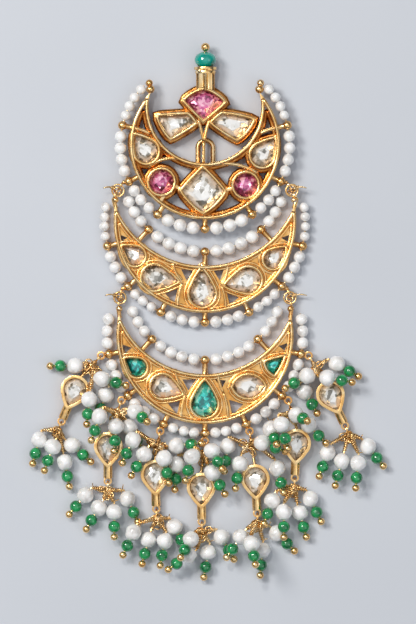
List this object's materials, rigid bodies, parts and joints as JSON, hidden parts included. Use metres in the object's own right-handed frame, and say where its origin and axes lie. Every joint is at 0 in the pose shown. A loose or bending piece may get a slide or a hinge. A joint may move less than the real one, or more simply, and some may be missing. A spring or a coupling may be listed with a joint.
{
  "type": "chandbali earring",
  "caption": "Chandbali earring: linked crescents set with stones, strung with small pearls, over drops and a fringe of pearls and green beads.",
  "frame": {"origin": "middle of the underside of the whole earring's box, on the ground that it lies on", "axes": "+X to the right across the earring, +Y towards the finial, +Z out of its face"},
  "size_m": [0.0668, 0.1002, 0.0092],
  "materials": {
    "gold": "polished yellow gold plate",
    "gold_wire": "drawn gold wire",
    "pearl": "soft pearl lustre",
    "clear_stone": "cut, backed with silver foil",
    "pink_stone": "cut, backed with foil",
    "emerald": "cut, backed with foil",
    "teal_bead": "polished",
    "green_glass": "glossy"
  },
  "bodies": {
    "root": {"drop1_setting": "gold", "drop1_stone": "clear_stone", "drop2_setting": "gold", "drop2_stone": "clear_stone", "drop3_setting": "gold", "drop3_stone": "clear_stone", "drop4_setting": "gold", "drop4_stone": "clear_stone", "drop5_setting": "gold", "drop5_stone": "clear_stone", "drop6_setting": "gold", "drop6_stone": "clear_stone", "drop7_setting": "gold", "drop7_stone": "clear_stone", "ear_wire": "gold", "finial_bead": "teal_bead", "finial_pin": "gold", "lower_fringe_beads": "green_glass", "lower_fringe_pearls": "pearl", "lower_fringe_wires": "gold", "lower_link_left": "gold", "lower_link_right": "gold", "tier1_frame": "gold", "tier1_pearl_wire": "gold_wire", "tier1_pearls": "pearl", "tier1_stone_kite": "pink_stone", "tier1_stone_leaf_left": "clear_stone", "tier1_stone_leaf_right": "clear_stone", "tier1_stone_pear_left": "clear_stone", "tier1_stone_pear_right": "clear_stone", "tier1_stone_rhomb": "clear_stone", "tier1_stone_round_left": "pink_stone", "tier1_stone_round_right": "pink_stone", "tier2_frame": "gold", "tier2_inner_pearl_wire": "gold_wire", "tier2_inner_pearls": "pearl", "tier2_pearl_wire": "gold_wire", "tier2_pearls": "pearl", "tier2_stone_centre": "clear_stone", "tier2_stone_far_left": "clear_stone", "tier2_stone_far_right": "clear_stone", "tier2_stone_left": "clear_stone", "tier2_stone_right": "clear_stone", "tier3_frame": "gold", "tier3_inner_pearl_wire": "gold_wire", "tier3_inner_pearls": "pearl", "tier3_pearl_wire": "gold_wire", "tier3_pearls": "pearl", "tier3_stone_centre": "emerald", "tier3_stone_far_left": "emerald", "tier3_stone_far_right": "emerald", "tier3_stone_left": "clear_stone", "tier3_stone_right": "clear_stone", "upper_fringe_beads": "green_glass", "upper_fringe_pearls": "pearl", "upper_fringe_wires": "gold", "upper_link_left": "gold", "upper_link_right": "gold"}
  },
  "joints": []
}
